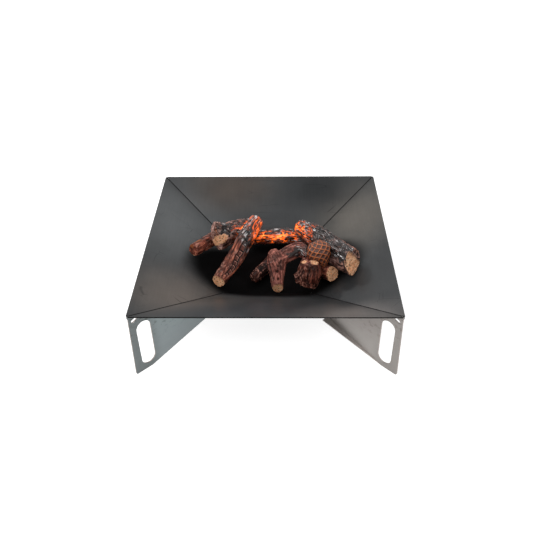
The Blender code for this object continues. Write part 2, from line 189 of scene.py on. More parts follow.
def finish(name, roughness=0.5, metallic=0.0):
    """A new material, the graph to fill, and the inputs of its shader."""
    material = bpy.data.materials.new(name)
    material.use_nodes = True
    shader = material.node_tree.nodes["Principled BSDF"].inputs
    shader["Roughness"].default_value = roughness
    shader["Metallic"].default_value = metallic
    return material, Graph(material.node_tree), shader


def tint(red, green, blue):
    """A colour written as it looks on a screen, from 0 to 255."""
    levels = [level / 255 for level in (red, green, blue)]
    return tuple(level / 12.92 if level <= 0.04045 else ((level + 0.055) / 1.055) ** 2.4
                 for level in levels) + (1.0,)


# Effects, as node groups that the materials use

CHAR_BLACK = (0.004, 0.003, 0.003, 1)
CHAR_BROWN = (0.044, 0.029, 0.027, 1)
# Colour of the pale flecks on the char, which are painted glints of light
PAINTED_GLINT = tint(214, 208, 208)


def make_soft_patch():
    """A mask that is 1 inside an ellipsoid and fades out round its wavering edge."""
    inputs = [("Vector", "Vector", None), ("Center", "Vector", (0, 0, 0)), ("Reach", "Vector", (1, 1, 1)),
              ("Softness", "Float", 0.5), ("Waver", "Float", 0.2)]
    graph, entry, leave = effect("soft_patch", inputs, [("Mask", "Float")])
    offset = graph.vector("SUBTRACT", entry["Vector"], entry["Center"])
    distance = graph.vector("LENGTH", graph.vector("DIVIDE", offset, entry["Reach"]))
    wander = graph.math("SUBTRACT", graph.noise(entry["Vector"], scale=14.0), 0.5)
    distance = graph.math("ADD", distance, graph.math("MULTIPLY", wander, entry["Waver"]))
    inner = graph.math("SUBTRACT", 1.0, entry["Softness"])
    graph.feed(leave["Mask"], graph.fade(distance, 1.0, inner))
    return graph.tree


def make_rolled_steel():
    """Clouds, rolling lines and fine grain of hot-rolled sheet, as a change of brightness round 1."""
    inputs = [("Vector", "Vector", None), ("Rolling", "Vector", (1, 1, 1)), ("Clouds", "Float", 0.2),
              ("Lines", "Float", 0.1)]
    outputs = [("Shade", "Float"), ("Roughness", "Float"), ("Height", "Float")]
    graph, entry, leave = effect("rolled_steel", inputs, outputs)
    clouds = graph.math("SUBTRACT", graph.noise(entry["Vector"], scale=16.0, detail=3.0, roughness=0.55), 0.5)
    along = graph.vector("MULTIPLY", entry["Vector"], entry["Rolling"])
    lines = graph.math("SUBTRACT", graph.noise(along, scale=1.0, detail=3.0, roughness=0.6), 0.5)
    grain = graph.math("SUBTRACT", graph.noise(entry["Vector"], scale=900.0, detail=1.0), 0.5)
    shade = graph.math("ADD", 1.0, graph.math("MULTIPLY", clouds, entry["Clouds"]))
    shade = graph.math("ADD", shade, graph.math("MULTIPLY", lines, entry["Lines"]))
    graph.feed(leave["Shade"], graph.math("ADD", shade, graph.math("MULTIPLY", grain, 0.10)))
    graph.feed(leave["Roughness"], graph.math("ADD", 0.40, graph.math("MULTIPLY", clouds, 0.25)))
    height = graph.math("ADD", graph.math("MULTIPLY", lines, 0.3), graph.math("MULTIPLY", grain, 0.5))
    graph.feed(leave["Height"], height)
    return graph.tree


def make_scratches():
    """A few long fine scratches, as a mask."""
    inputs = [("Vector", "Vector", None), ("Stretch", "Vector", (1, 1, 1)), ("Thinness", "Float", 0.02)]
    graph, entry, leave = effect("scratches", inputs, [("Mask", "Float")])
    wander = graph.math("MULTIPLY", graph.noise(entry["Vector"], scale=9.0, detail=1.0), 0.02)
    shift = graph.add("ShaderNodeCombineXYZ", {0: wander, 2: wander}).outputs[0]
    bent = graph.vector("ADD", entry["Vector"], shift)
    lines = graph.cell_borders(graph.vector("MULTIPLY", bent, entry["Stretch"]), 1.0)
    mask = graph.fade(lines, entry["Thinness"], 0.0)
    patchy = graph.fade(graph.noise(entry["Vector"], scale=11.0), 0.50, 0.68)
    graph.feed(leave["Mask"], graph.math("MULTIPLY", mask, patchy))
    return graph.tree


def make_char():
    """Burnt wood: blackens a colour, adds pale flecks that are painted glints, and says where the char
    shines.
    """
    inputs = [("Grain", "Vector", None), ("Wood", "Color", (0.1, 0.05, 0.04, 1)), ("Burn", "Float", 0.0)]
    outputs = [("Color", "Color"), ("Roughness", "Float"), ("Coat", "Float"), ("Height", "Float")]
    graph, entry, leave = effect("char", inputs, outputs)
    drawn_out = graph.vector("MULTIPLY", entry["Grain"], (0.5, 1, 1))
    blister = graph.noise(drawn_out, scale=150.0, detail=4.0, roughness=0.6)
    black = graph.mix(graph.fade(blister, 0.38, 0.66), CHAR_BLACK, CHAR_BROWN)
    # Painted glints: pale flecks drawn out along the grain, in patches
    long_drawn = graph.vector("MULTIPLY", entry["Grain"], (0.20, 1, 1))
    flecks = graph.noise(long_drawn, scale=220.0)
    patches = graph.fade(graph.noise(entry["Grain"], scale=60.0, detail=1.0), 0.42, 0.54)
    glint_flecks = graph.math("MULTIPLY", graph.fade(flecks, 0.56, 0.62), patches)
    black = graph.mix(glint_flecks, black, PAINTED_GLINT)
    graph.feed(leave["Color"], graph.mix(entry["Burn"], entry["Wood"], black))
    graph.feed(leave["Roughness"], graph.fade(entry["Burn"], 0.1, 0.9, 0.50, 0.30))
    graph.feed(leave["Coat"], graph.fade(entry["Burn"], 0.2, 0.6, 0.06, 0.40))
    graph.feed(leave["Height"], graph.math("MULTIPLY", blister, entry["Burn"]))
    return graph.tree


SOFT_PATCH = make_soft_patch()
ROLLED_STEEL = make_rolled_steel()
SCRATCHES = make_scratches()
CHAR = make_char()


# Materials of the steel. Centres and reaches are in mm, from the middle of the pit on the floor

MILL_SCALE = tint(68, 69, 70)
# Tints of the mill scale; they also hold painted shade, darker on the back wall and lighter at the front
# right
BOWL_TINTS_AND_SHADE = (
    # centre, reach, colour
    ((-250, 110, 150), (220, 260, 200), tint(95, 97, 98)),
    ((-200, -190, 130), (190, 150, 200), tint(107, 100, 95)),
    ((240, 130, 150), (170, 210, 200), tint(103, 99, 94)),
    ((-110, 270, 150), (190, 120, 200), tint(76, 70, 66)),
    ((130, 270, 150), (160, 110, 200), tint(50, 51, 52)),
    ((-60, -280, 150), (260, 120, 200), tint(72, 75, 78)),
    ((190, -290, 150), (150, 110, 200), tint(130, 124, 121)),
)
TINT_SOFTNESS = 0.95
TINT_WAVER = 0.25
SCRATCH_COLOR = tint(34, 34, 36)
SCRATCH_SHARE = 0.65

# Soot round the fire, which also carries the painted shadow of the logs on the bowl
SOOT_AND_SHADOW = (
    # centre, reach, softness
    ((20, -21, 100), (250, 140, 400), 0.24),
    ((16, 40, 100), (190, 120, 400), 0.40),
)
SOOT_AND_SHADOW_WAVER = 0.10
SOOT_AND_SHADOW_COLOR = (0.0015, 0.0015, 0.0016, 1)

# Painted shade on the cut edges of the bowl and in its seams: the edges are told by how far their faces look
# up, and the seams by their diagonals
BOWL_EDGE_SHADE_COLOR = tint(26, 26, 26)
BOWL_EDGE_LOOKS_UP = 0.42
SEAM_SHADE_WIDTH = 2.8 * MM
SEAM_SHADE_SHARE = 0.92
SEAM_END = 4 * MM

# Colours of the legs' sheared edges: bare steel, lightened further as a painted highlight
LEG_EDGE_HIGHLIGHT = tint(196, 190, 186)
LEG_EDGE_DULL = tint(150, 132, 122)
# Painted shade for a leg's top edge under the bowl
LEG_EDGE_SHADE_UNDER_BOWL = tint(12, 12, 12)
# Painted light that lightens the lips against the bowl's shade
LIP_PAINTED_LIGHT = tint(200, 194, 190)
SMUDGE_SHARE = 0.75
OUTER_STRIP = 390.0 * MM
OUTER_STRIP_FADE = 0.05

# Distance from the middle of a leg's sheet: still on the sheet, clear of it, well out on a lip
ON_SHEET = 1.6 * MM
OFF_SHEET = 1.7 * MM
ON_LIP = 2.2 * MM

# Height over the line of the bowl's seams from which a leg's edge starts to be dark with painted shade, and
# is dark
EDGE_DARKENS = -7 * MM
EDGE_IS_DARK = -5 * MM


def patch_mask(graph, place, center, reach, softness, waver):
    return graph.use(SOFT_PATCH, {"Vector": place, "Center": Vector(center) * MM, "Reach": Vector(reach) * MM,
                                  "Softness": softness, "Waver": waver})["Mask"]


def bowl_finish():
    """Dark mill scale in soft tints with painted shade in them, black under the fire with soot and the
    painted shadow of the logs, with painted shade on its cut edges and in its seams.
    """
    material, graph, shader = finish("bowl_mill_scale", metallic=0.45)
    place = graph.place()
    color = MILL_SCALE
    # Soft patches of tint and of painted shade
    for center, reach, tint_and_shade_color in BOWL_TINTS_AND_SHADE:
        mask = patch_mask(graph, place, center, reach, TINT_SOFTNESS, TINT_WAVER)
        color = graph.mix(mask, color, tint_and_shade_color)
    rolled = graph.use(ROLLED_STEEL, {"Vector": place, "Rolling": (260, 16, 16), "Clouds": 0.35,
                                      "Lines": 0.16})
    color = graph.mix(1.0, color, rolled["Shade"], "MULTIPLY")
    scratches = graph.use(SCRATCHES, {"Vector": place, "Stretch": (5, 26, 40), "Thinness": 0.016})["Mask"]
    color = graph.mix(graph.math("MULTIPLY", scratches, SCRATCH_SHARE), color, SCRATCH_COLOR)
    # Soot and the painted shadow under the logs, only on faces that look up
    soot_and_shadow = 0.0
    for center, reach, softness in SOOT_AND_SHADOW:
        soot_and_shadow = graph.math("MAXIMUM", soot_and_shadow, patch_mask(graph, place, center, reach, softness, SOOT_AND_SHADOW_WAVER))
    looks_up = graph.split(graph.facing())["Z"]
    soot_and_shadow = graph.math("MULTIPLY", soot_and_shadow, graph.fade(looks_up, 0.1, 0.3))
    color = graph.mix(soot_and_shadow, color, SOOT_AND_SHADOW_COLOR)
    # Painted shade: the cut edges and the seams are darkened nearly to black
    off_edge = graph.math("ABSOLUTE", graph.math("SUBTRACT", looks_up, BOWL_EDGE_LOOKS_UP))
    edge = graph.fade(off_edge, 0.30, 0.24)
    sides = graph.split(graph.vector("ABSOLUTE", place))
    off_seam = graph.math("ABSOLUTE", graph.math("SUBTRACT", sides["X"], sides["Y"]))
    from_middle = graph.math("MAXIMUM", sides["X"], sides["Y"])
    on_walls = graph.fade(from_middle, FLOOR_HALF, FLOOR_HALF + SEAM_END)
    seam = graph.fade(off_seam, SEAM_SHADE_WIDTH, 0.6 * SEAM_SHADE_WIDTH, 0.0, SEAM_SHADE_SHARE)
    seam = graph.math("MULTIPLY", seam, on_walls)
    color = graph.mix(graph.math("MAXIMUM", edge, seam), color, BOWL_EDGE_SHADE_COLOR)
    graph.feed(shader["Base Color"], color)
    soot_and_shadow_rough = graph.math("MULTIPLY", soot_and_shadow, 0.35)
    graph.feed(shader["Roughness"], graph.math("ADD", rolled["Roughness"], soot_and_shadow_rough))
    shader["Specular IOR Level"].default_value = 0.06
    graph.feed(shader["Normal"], graph.bump(rolled["Height"], 0.25, 0.2 * MM))
    return material


def leg_finish(name, face, main_color, low_color, outer_color, stain_color):
    """Raw sheet steel, smudged near the bowl, with bright sheared edges that carry a painted highlight,
    painted shade on the top edge under the bowl, and lips lightened with painted light.
    """
    material, graph, shader = finish(name, metallic=0.6)
    place = graph.place()
    height = graph.split(place)["Z"]
    from_middle = graph.vector("LENGTH", graph.vector("MULTIPLY", place, (1, 1, 0)))
    color = graph.mix(graph.fade(height, 0.03, 0.15), low_color, main_color)
    outer = graph.fade(from_middle, OUTER_STRIP - OUTER_STRIP_FADE, OUTER_STRIP)
    color = graph.mix(outer, color, outer_color)
    rolled = graph.use(ROLLED_STEEL, {"Vector": place, "Rolling": (14, 14, 240), "Clouds": 0.30,
                                      "Lines": 0.10})
    color = graph.mix(1.0, color, rolled["Shade"], "MULTIPLY")
    smudge = graph.noise(graph.vector("MULTIPLY", place, (1, 1, 1.6)), scale=55.0, detail=5.0, roughness=0.65)
    smudge = graph.math("MULTIPLY", graph.fade(smudge, 0.53, 0.66), graph.fade(height, 0.05, 0.15))
    color = graph.mix(graph.math("MULTIPLY", smudge, SMUDGE_SHARE), color, stain_color)
    square_on = graph.math("ABSOLUTE", graph.vector("DOT_PRODUCT", graph.facing(), face))
    offset = graph.math("ABSOLUTE", graph.vector("DOT_PRODUCT", place, face))
    edge = graph.math("MULTIPLY", graph.fade(square_on, 0.6, 0.5), graph.fade(offset, OFF_SHEET, ON_SHEET))
    # Sheared edges: bare steel, lightened further with a painted highlight
    edge_color = graph.mix(graph.noise(place, scale=160.0), LEG_EDGE_HIGHLIGHT, LEG_EDGE_DULL)
    # Painted shade on a leg's top edge where it lies under the bowl's seams
    seam = graph.math("ADD", graph.math("MULTIPLY", from_middle, SEAM_SLOPE), SEAM_START)
    shade_under_bowl = graph.fade(graph.math("SUBTRACT", height, seam), EDGE_DARKENS, EDGE_IS_DARK)
    edge_color = graph.mix(shade_under_bowl, edge_color, LEG_EDGE_SHADE_UNDER_BOWL)
    color = graph.mix(edge, color, edge_color)
    # Painted light: the lips are lightened against the bowl's shade
    color = graph.mix(graph.fade(offset, OFF_SHEET, ON_LIP), color, LIP_PAINTED_LIGHT)
    graph.feed(shader["Base Color"], color)
    smudged = graph.math("MULTIPLY", smudge, 0.12)
    graph.feed(shader["Roughness"], graph.math("ADD", rolled["Roughness"], smudged))
    graph.feed(shader["Normal"], graph.bump(rolled["Height"], 0.2, 0.2 * MM))
    return material


def dress(node, material):
    """Give a CAD node that keeps its shape its finish."""
    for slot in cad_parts[node].material_slots:
        slot.material = material


def dress_steel():
    dress("bowl", bowl_finish())
    warm = leg_finish("leg_steel_warm", (DIAGONAL, DIAGONAL, 0), main_color=tint(142, 135, 131),
                      low_color=tint(164, 159, 155), outer_color=tint(145, 140, 136),
                      stain_color=tint(108, 98, 93))
    cool = leg_finish("leg_steel_cool", (DIAGONAL, -DIAGONAL, 0), main_color=tint(141, 152, 153),
                      low_color=tint(136, 144, 146), outer_color=tint(109, 115, 115),
                      stain_color=tint(70, 73, 70))
    dress("leg_plate_lower", warm)
    dress("leg_plate_upper", cool)


# Noise for shaping surfaces: each call takes an array of points and gives one value for each.
# Sizes are in mm, one for all axes or one for each. Every noise of a log has a seed of its own,
# the log's seed plus a number.

def scatter(cells, seed):
    """A repeatable random number from 0 to 1 for each cell of a grid."""
    wide = cells.astype(np.int64)
    mixed = wide[..., 0] * 374761393 + wide[..., 1] * 668265263 + wide[..., 2] * 1440662683
    mixed = mixed + seed * 1274126177
    mixed = ((mixed ^ (mixed >> 13)) * 1103515245) & 0xFFFFFFFF
    mixed = ((mixed ^ (mixed >> 15)) * 668265263) & 0xFFFFFFFF
    return (mixed ^ (mixed >> 16)) / 0xFFFFFFFF


def grid_noise(points, seed):
    """Random heights from -1 to 1 at the corners of a grid of unit cells, joined smoothly."""
    cells = np.floor(points)
    part = points - cells
    part = part * part * (3 - 2 * part)
    total = np.zeros(len(points))
    for corner in range(8):
        step = np.array((corner & 1, corner >> 1 & 1, corner >> 2 & 1))
        weight = np.prod(np.where(step, part, 1 - part), axis=1)
        total += weight * scatter(cells + step, seed)
    return total * 2 - 1


def smooth_noise(points, size, seed):
    """Noise with lumps of one size."""
    return grid_noise(points / np.array(size) / MM, seed)


def rough_noise(points, size, seed):
    """Smooth noise with two layers of finer noise on top."""
    points = points / np.array(size) / MM
    total = np.zeros(len(points))
    for layer in range(3):
        total += grid_noise(points * 2.03 ** layer + 17.3 * layer, seed + layer) * 0.5 ** layer
    return total / 1.5


def cell_border(points, seed):
    """How far each point is from the border of its random cell, which is about one unit wide."""
    cells = np.floor(points)
    near = np.full(len(points), FAR)
    second = np.full(len(points), FAR)
    for number in range(27):
        step = np.array((number % 3 - 1, number // 3 % 3 - 1, number // 9 - 1))
        home = cells + step
        seed_point = home + np.stack([scatter(home, seed + axis) for axis in (11, 12, 13)], axis=1)
        distance = np.linalg.norm(points - seed_point, axis=1)
        second = np.minimum(second, np.maximum(near, distance))
        near = np.minimum(near, distance)
    return second - near


def step_between(value, low, high):
    """0 below low, 1 above high and smooth between; low may be the larger one."""
    share = np.clip((value - low) / (high - low), 0, 1)
    return share * share * (3 - 2 * share)


# Meshes

def fine_copy(node, name):
    """The CAD solid of a node as a new mesh with small even faces."""
    source = bpy.data.objects.new(name + "_coarse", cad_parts[node].data.copy())
    bpy.context.scene.collection.objects.link(source)
    weld = source.modifiers.new("weld", "WELD")
    weld.merge_threshold = WELD_REACH
    even = source.modifiers.new("even", "REMESH")
    even.mode = "VOXEL"
    even.voxel_size = SURFACE_STEP
    soften = source.modifiers.new("soften", "SMOOTH")
    soften.factor = 0.5
    soften.iterations = 3
    evaluated = source.evaluated_get(bpy.context.evaluated_depsgraph_get())
    mesh = bpy.data.meshes.new_from_object(evaluated)
    mesh.name = name
    bpy.data.objects.remove(source)
    return mesh


def read_vectors(items, field):
    flat = np.zeros(len(items) * 3, np.float32)
    items.foreach_get(field, flat)
    return flat.reshape(-1, 3).astype(float)


def points_and_normals(mesh):
    return read_vectors(mesh.vertices, "co"), read_vectors(mesh.vertex_normals, "vector")


def move_points(mesh, places):
    mesh.vertices.foreach_set("co", places.astype(np.float32).ravel())
    mesh.update()


def store(mesh, name, values):
    """Keep one number or one vector for each point of a mesh, for its material."""
    kind, field = ("FLOAT", "value") if values.ndim == 1 else ("FLOAT_VECTOR", "vector")
    layer = mesh.attributes.new(name, kind, "POINT")
    layer.data.foreach_set(field, values.astype(np.float32).ravel())


def add_piece(name, mesh, node, material):
    """Put a finished mesh in the pile in place of its CAD node."""
    mesh.materials.clear()
    mesh.materials.append(material)
    mesh.shade_smooth()
    piece = bpy.data.objects.new(name, mesh)
    bpy.context.scene.collection.objects.link(piece)
    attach(piece, "log_pile")
    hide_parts(node)


# Paths on and in the logs

def smooth_path(points, steps):
    """Points on a smooth curve through the given ones, which are in mm."""
    points = np.array(points, float) * MM
    ends = np.concatenate([[points[0] * 2 - points[1]], points, [points[-1] * 2 - points[-2]]])
    curve = []
    for a, b, c, d in zip(ends, ends[1:], ends[2:], ends[3:]):
        for t in np.arange(steps) / steps:
            bend = (2 * a - 5 * b + 4 * c - d) * t ** 2 + (3 * b - a - 3 * c + d) * t ** 3
            curve.append((2 * b + (c - a) * t + bend) / 2)
    return np.array(curve + [points[-1]])


def follow(points, steps):
    """A smooth path, and at each of its points the way ahead, the way aside and the distance walked."""
    path = smooth_path(points, steps)
    ahead = np.gradient(path, axis=0)
    ahead /= np.linalg.norm(ahead, axis=1)[:, None]
    side = np.cross(ahead, TOWARD_VIEWER)
    side /= np.linalg.norm(side, axis=1)[:, None]
    walked = np.concatenate([[0], np.cumsum(np.linalg.norm(np.diff(path, axis=0), axis=1))])
    return path, ahead, side, walked


def along_stems(surface, stems):
    """For each point: its distance along the nearest stem and two offsets across, and how far an end is."""
    best = np.full(len(surface), FAR)
    grain = np.zeros((len(surface), 3))
    to_end = np.zeros(len(surface))
    for number, (points, radii) in enumerate(stems):
        path, ahead, side, walked = follow(points, steps=12)
        given_at = np.arange(len(radii)) * (len(path) - 1) / (len(radii) - 1)
        radius = np.interp(np.arange(len(path)), given_at, radii)
        up = np.cross(side, ahead)
        gaps = np.linalg.norm(surface[:, None, :] - path[None, :, :], axis=2)
        nearest = gaps.argmin(axis=1)
        offset = surface - path[nearest]
        reach = gaps.min(axis=1) / (radius[nearest] * MM)
        distance = walked[nearest] + (offset * ahead[nearest]).sum(axis=1)
        found = np.stack([distance + number, (offset * side[nearest]).sum(axis=1),
                          (offset * up[nearest]).sum(axis=1)], axis=1)
        closer = reach < best
        grain[closer] = found[closer]
        to_end[closer] = np.minimum(distance, walked[-1] - distance)[closer]
        best = np.minimum(best, reach)
    return grain, to_end


def capsule(surface, start, end, radius):
    """Distance to a line from start to end, as a share of the radius; all in mm but the surface."""
    start = np.array(start, float) * MM
    line = np.array(end, float) * MM - start
    share = np.clip((surface - start) @ line / max(line @ line, 1e-12), 0, 1)
    return np.linalg.norm(surface - start - share[:, None] * line, axis=1) / (radius * MM)


def within(surface, regions, seed, ragged=0.28):
    """How much each point lies in a region: lines with a radius, all in mm, with wavering edges."""
    share = np.zeros(len(surface))
    waver = ragged * rough_noise(surface, 6, seed)
    for start, end, radius in regions:
        share = np.maximum(share, step_between(capsule(surface, start, end, radius) + waver, 1.08, 0.90))
    return share


# Surface of the logs. Depths are in mm below the surface of the CAD solid. Sizes of lumps are in mm:
# along the grain and in both ways across it, or one for all

FOLD_SIZE = (38, 11, 11)
RIDGE_SIZE = (60, 9, 9)
FINE_SIZE = (7, 2.4, 2.4)
CALM_PATCH_SIZE = 30
BARK_DEPTH = 0.9
FOLD_DEPTH = 0.9
FINE_DEPTH = 0.3

ROW_BARK_DEPTH = 0.5
ROW_CRACK_DEPTH = 2.6

SPLINTER_SIZE = (16, 2.6, 2.6)
PORE_SIZE = 1.9
CUT_DEPTH = 0.8
SPLINTER_DEPTH = 0.9
PORE_DEPTH = 0.7

BLISTER_SIZE = (9, 4.5, 4.5)
CHAR_DEPTH = 0.5
BLISTER_DEPTH = 1.1
CHAR_PATCH_SIZE = 7

WORN_END = 9 * MM
WORN_SIZE = 9


def bark_relief(grain, seed, plate, furrow, calm):
    """Depth of the bark, how deep in a crack each point is, and how much painted highlight it gets near the
    rim of a plate.
    """
    length, width = plate
    folds = rough_noise(grain, FOLD_SIZE, seed)
    ridges = 1 - np.abs(rough_noise(grain, RIDGE_SIZE, seed + 5))
    warp = np.stack([smooth_noise(grain, 9, seed + shift) for shift in (31, 32, 33)], axis=1) * 0.35
    border = cell_border(grain / np.array((length, width, width)) / MM + warp, seed + 9)
    broken = step_between(rough_noise(grain, CALM_PATCH_SIZE, seed + 40), -0.35, 0.15) * (1 - calm)
    crack = step_between(border, 0.18, 0.03) * broken
    # Painted highlight along the rims of the plates
    rim = step_between(border, 0.14, 0.24) * step_between(border, 0.40, 0.28) * broken
    groove = step_between(ridges, 0.84, 0.97) * 0.85 * (1 - 0.8 * calm)
    crack = np.maximum(crack, groove)
    fine = rough_noise(grain, FINE_SIZE, seed + 60)
    depth = BARK_DEPTH - FOLD_DEPTH * folds + furrow * crack + FINE_DEPTH * fine
    return depth, crack, rim * (1 - groove)


def plate_row(surface, path, width, pitch, seed):
    """A row of raised plates along a path on the bark: where it is, its cracks and the painted highlights on
    the lit sides of its rims.
    """
    line, ahead, side, walked = follow(path, steps=10)
    gaps = np.linalg.norm(surface[:, None, :] - line[None, :, :], axis=2)
    nearest = gaps.argmin(axis=1)
    offset = surface - line[nearest]
    along = (walked[nearest] + (offset * ahead[nearest]).sum(axis=1)) / MM
    across = (offset * side[nearest]).sum(axis=1) / MM
    along += 1.4 * smooth_noise(surface, 8, seed) + 5.0 * smooth_noise(surface, 34, seed + 2)
    across += 1.8 * smooth_noise(surface, 10, seed + 1) + 0.14 * along - 5.0
    from_side = width / 2 - np.abs(across)
    share = along / pitch
    from_rung = (0.5 - np.abs(share - np.floor(share) - 0.5)) * pitch
    length = walked[-1] / MM
    ends = step_between(along, -2.0, 1.0) * step_between(along, length + 2.0, length - 1.0)
    where = step_between(from_side, -3.0, -1.0) * ends * (gaps.min(axis=1) < 1.2 * width * MM)
    border = np.minimum(np.where(from_side > 0, from_rung, FAR), np.abs(from_side))
    crack = step_between(border, 1.9, 0.9)
    # Painted highlight on the lit end and lit side of each plate's rim
    lit_end = step_between(share - np.floor(share), 0.34, 0.24)
    lit = np.maximum(lit_end, step_between(across, -0.18, -0.26 * width))
    rim = lit * step_between(border, 1.7, 2.1) * step_between(border, 3.4, 2.7) * (from_side > 0)
    return where, crack, rim


def burnt_share(surface, normals, seed, reach):
    """How charred each point is: fully within the reach of the fire, in mm, on the sides that face up."""
    distance = np.linalg.norm((surface - FIRE) * (1, 1, 0.7), axis=1)
    distance += 14 * MM * rough_noise(surface, 22, seed + 70)
    near = step_between(distance, (reach + 20) * MM, (reach - 10) * MM)
    return near * step_between(normals[:, 2], -0.45, 0.05)


def glow_share(surface, seed, crack):
    """How much each point glows: the parts near the heart of the fire, most of all in cracks."""
    distance = np.linalg.norm((surface - FIRE) * (0.72, 1, 1), axis=1)
    distance += 16 * MM * rough_noise(surface, 14, seed + 80)
    return step_between(distance, 100 * MM, 38 * MM) * (0.35 + 0.65 * crack)


def make_log(name, node, seed, bark, stems, plate=(26, 13), furrow=2.2, reach=60, calm=0.0, ragged=0.8,
             sawn=(), torn=(), charred=(), warm=(), holes=(), grooves=(), row=None):
    """Grow one log from its CAD solid: bark, sawn or torn ends, knots and grooves, char and glow."""
    mesh = fine_copy(node, name)
    surface, normals = points_and_normals(mesh)
    grain, to_end = along_stems(surface, stems)
    stepped, _ = along_stems(surface + normals * MM, stems)
    facing_end = np.abs(stepped[:, 0] - grain[:, 0]) / MM
    end_face = step_between(facing_end, 0.68, 0.86) * step_between(to_end, 10 * MM, 4 * MM)
    cut = end_face * within(surface, sawn, seed + 88, ragged=0.05)
    cut = np.maximum(cut, within(surface, torn, seed + 90))

    depth, crack, rim = bark_relief(grain, seed, plate, furrow, calm)
    depth *= 1 - 0.7 * end_face
    crack *= 1 - 0.6 * end_face
    plates = np.zeros(len(surface))
    if row:
        plates, row_crack, row_rim_highlight = plate_row(surface, *row, seed + 20)
        row_depth = ROW_BARK_DEPTH + ROW_CRACK_DEPTH * row_crack + 0.3 * depth
        depth = depth * (1 - plates) + row_depth * plates
        crack = crack * (1 - plates) + row_crack * plates
        rim = rim * (1 - plates) + row_rim_highlight * plates

    splinters = rough_noise(grain, SPLINTER_SIZE, seed + 50)
    pores = step_between(smooth_noise(surface, PORE_SIZE, seed + 55), 0.30, 0.62)
    depth = depth * (1 - cut) + (CUT_DEPTH + SPLINTER_DEPTH * splinters + PORE_DEPTH * pores) * cut
    crack = crack * (1 - cut)
    for start, end, radius, deep in holes:
        inside = step_between(capsule(surface, start, end, radius), 1.1, 0.45)
        depth += deep * inside
        crack = np.maximum(crack, inside)
    for start, end, radius, deep in grooves:
        edge = capsule(surface, start, end, radius) + 0.3 * rough_noise(surface, 8, seed + 95)
        inside = step_between(edge, 1.1, 0.3)
        depth += deep * inside
        crack = np.maximum(crack, 0.85 * inside)

    burnt = np.maximum(burnt_share(surface, normals, seed, reach), within(surface, charred, seed + 75, 0.55))
    burnt *= 0.60 + 0.40 * step_between(rough_noise(surface, CHAR_PATCH_SIZE, seed + 72), -0.35, 0.10)
    blisters = rough_noise(grain, BLISTER_SIZE, seed + 65)
    depth += burnt * (1 - cut) * (CHAR_DEPTH + BLISTER_DEPTH * blisters)
    worn = 0.6 + rough_noise(surface, WORN_SIZE, seed + 98)
    depth += ragged * worn * step_between(to_end, WORN_END, 0)
    move_points(mesh, surface - normals * (np.maximum(depth, 0)[:, None] * MM + SURFACE_INSET))

    store(mesh, "grain", grain)
    store(mesh, "crack", crack)
    store(mesh, "rim", rim * (1 - cut))
    store(mesh, "plates", plates)
    store(mesh, "cut", cut)
    store(mesh, "pore", pores * cut)
    store(mesh, "warm", within(surface, warm, seed + 77, 0.5))
    store(mesh, "burnt", burnt * (1 - 0.8 * cut))
    store(mesh, "glow", glow_share(surface, seed, crack))
    add_piece(name, mesh, node, bark)


# Finish of the logs

BLOTCH_COLOR = tint(50, 24, 20)
WARM_COLOR = tint(172, 98, 58)
PLATE_COLOR = tint(84, 47, 40)
RIM_HIGHLIGHT_COLOR = tint(226, 166, 148)
# Colour of the bark's dark crevices, deepened with painted shade
CRACK_AND_SHADE_COLOR = (0.005, 0.0025, 0.002, 1)
WOOD_COLOR = tint(255, 172, 122)
WOOD_PALE = tint(255, 216, 176)
WOOD_STAIN = tint(188, 116, 72)
PORE_COLOR = tint(104, 60, 38)
NO_GLOW = (0.0, 0.0, 0.0, 1)
EMBER_RED = (1.0, 0.13, 0.010, 1)
EMBER_YELLOW = (1.0, 0.50, 0.09, 1)
EMBER_STRENGTH = 1.6


